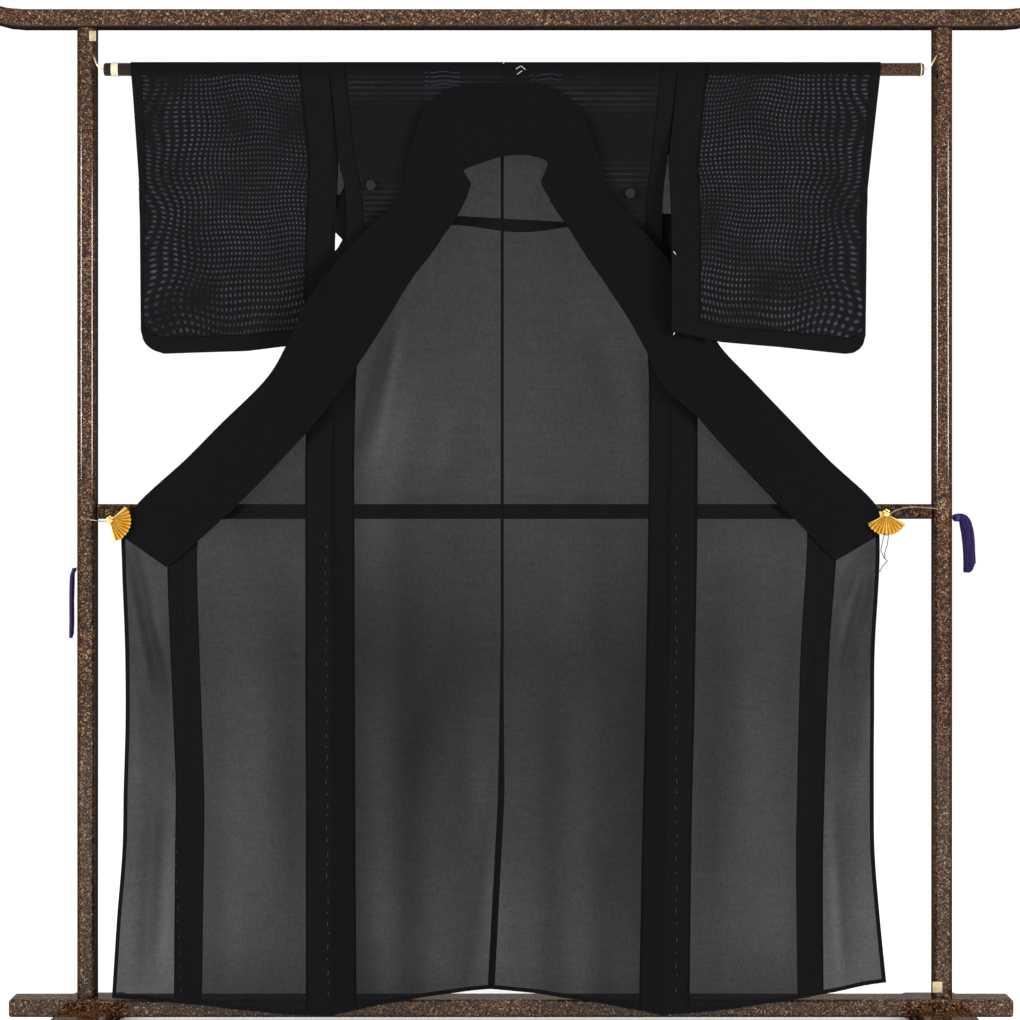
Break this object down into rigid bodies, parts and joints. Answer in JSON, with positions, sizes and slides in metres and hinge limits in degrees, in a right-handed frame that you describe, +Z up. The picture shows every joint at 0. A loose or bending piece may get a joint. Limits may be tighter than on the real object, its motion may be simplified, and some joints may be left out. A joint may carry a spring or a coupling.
{
  "type": "kimono on a kimono rack",
  "caption": "Sheer unlined summer kimono hung open on a rod in a lacquered standing rack, with its fronts held out by two fan clips.",
  "frame": {"origin": "on the floor under the middle of the rack, centre of the bounding box's underside", "axes": "+X to the right of someone facing the open fronts, +Y away from them, +Z up"},
  "size_m": [1.86, 0.42, 1.754],
  "materials": {
    "cloth": "sheer plain silk gauze, matt with a faint sheen",
    "lacquer": "glossy brown lacquer with gold and red speckles",
    "brass": "satin",
    "gold": "polished gilt",
    "wire": "plain wire",
    "silk": "twisted silk strands"
  },
  "bodies": {
    "root": {"body_left": "cloth", "body_right": "cloth", "overlap_left": "cloth", "overlap_right": "cloth", "sleeve_left": "cloth", "sleeve_right": "cloth", "collar": "cloth", "post_left": "lacquer", "post_right": "lacquer", "foot_left": "lacquer", "foot_right": "lacquer", "top_bar": "lacquer", "base_rail": "lacquer", "cross_bar": "lacquer", "rod": "lacquer", "rod_hanger_left": "brass", "rod_hanger_right": "brass", "clip_left": "gold", "clip_right": "gold", "clip_wire_left": "wire", "clip_wire_right": "wire", "tassel_left": "silk", "tassel_right": "silk", "top_fitting": "brass", "foot_fitting": "brass"}
  },
  "joints": []
}
